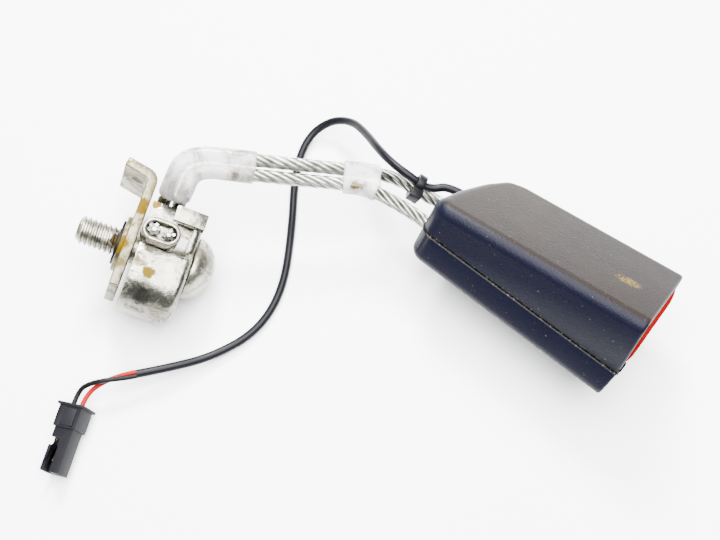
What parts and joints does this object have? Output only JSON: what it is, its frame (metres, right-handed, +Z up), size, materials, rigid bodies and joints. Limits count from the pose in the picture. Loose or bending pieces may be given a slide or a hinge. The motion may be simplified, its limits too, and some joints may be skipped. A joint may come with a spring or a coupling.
{
  "type": "seat belt buckle",
  "caption": "Seat belt buckle head with a push button, on a looped steel rope with its anchor bracket, bolt and switch lead.",
  "frame": {"origin": "middle of the footprint of the buckle, rope and anchor, on the surface it lies on", "axes": "+Z up; +X along the buckle head, from its rear to its mouth; +Y towards the head's far side"},
  "size_m": [0.1832, 0.1855, 0.051],
  "materials": {
    "black_plastic": "satin moulded, scuffed",
    "red_plastic": "moulded",
    "white_plastic": "moulded",
    "plated_steel": "zinc plated, stained",
    "bolt_steel": "zinc plated",
    "rope_steel": "laid galvanised wire",
    "spring_steel": "drawn wire",
    "clear_sleeve": "clear, aged",
    "lead_black_skin": "satin",
    "wire_red_skin": "satin",
    "tinned_brass": "tinned"
  },
  "bodies": {
    "buckle": {"upper_cover": "black_plastic", "lower_cover": "black_plastic", "buckle_frame": "plated_steel", "rope_saddle": "plated_steel", "saddle_rivet": "plated_steel", "latch_pin": "plated_steel", "ejector_spring": "spring_steel", "button_spring": "spring_steel", "buckle_switch": "white_plastic", "wire_rope": "rope_steel", "long_sleeve": "clear_sleeve", "short_sleeve": "clear_sleeve", "ferrule": "plated_steel", "cable_bracket": "plated_steel", "cable_tie": "black_plastic", "lead_sleeve": "lead_black_skin", "lead_red": "wire_red_skin", "lead_black": "lead_black_skin", "connector_housing": "black_plastic", "connector_lock": "black_plastic", "terminal_red": "tinned_brass", "terminal_black": "tinned_brass"},
    "button": {"press_button": "red_plastic", "lock_bar": "plated_steel"},
    "ejector_body": {"ejector": "white_plastic"},
    "pawl": {"latch_pawl": "plated_steel"},
    "bolt": {"anchor_bolt": "bolt_steel", "retaining_washer": "black_plastic"},
    "plate": {"anchor_plate": "plated_steel"}
  },
  "joints": [
    {"name": "button_press", "type": "slide", "parent": "buckle", "child": "button", "axis": [-1, 0, 0], "range_m": [0, 0.005], "stiffness_N_per_m": 600, "springref_m": -0.003, "deforming": ["button_spring"]},
    {"name": "ejector_slide", "type": "slide", "parent": "buckle", "child": "ejector_body", "axis": [-1, 0, 0], "range_m": [0, 0.01], "stiffness_N_per_m": 400, "springref_m": -0.004, "deforming": ["ejector_spring"]},
    {"name": "pawl_drop", "type": "hinge", "parent": "buckle", "child": "pawl", "pos_m": [0.04183, 0.03938, 0.0267], "axis": [0, 0.809, -0.5878], "range_deg": [0, 10]},
    {"name": "bolt_spin", "type": "hinge", "parent": "buckle", "child": "bolt", "pos_m": [-0.06697, -0.04406, 0.01874], "axis": [0.8755, 0.377, -0.3024], "continuous": true},
    {"name": "plate_swivel", "type": "hinge", "parent": "buckle", "child": "plate", "pos_m": [-0.06697, -0.04406, 0.01874], "axis": [0.8755, 0.377, -0.3024], "range_deg": [-20, 20]}
  ],
  "couplings": [
    {"joint": "pawl_drop", "follows": "ejector_slide", "rad_per_m": 17.4}
  ]
}
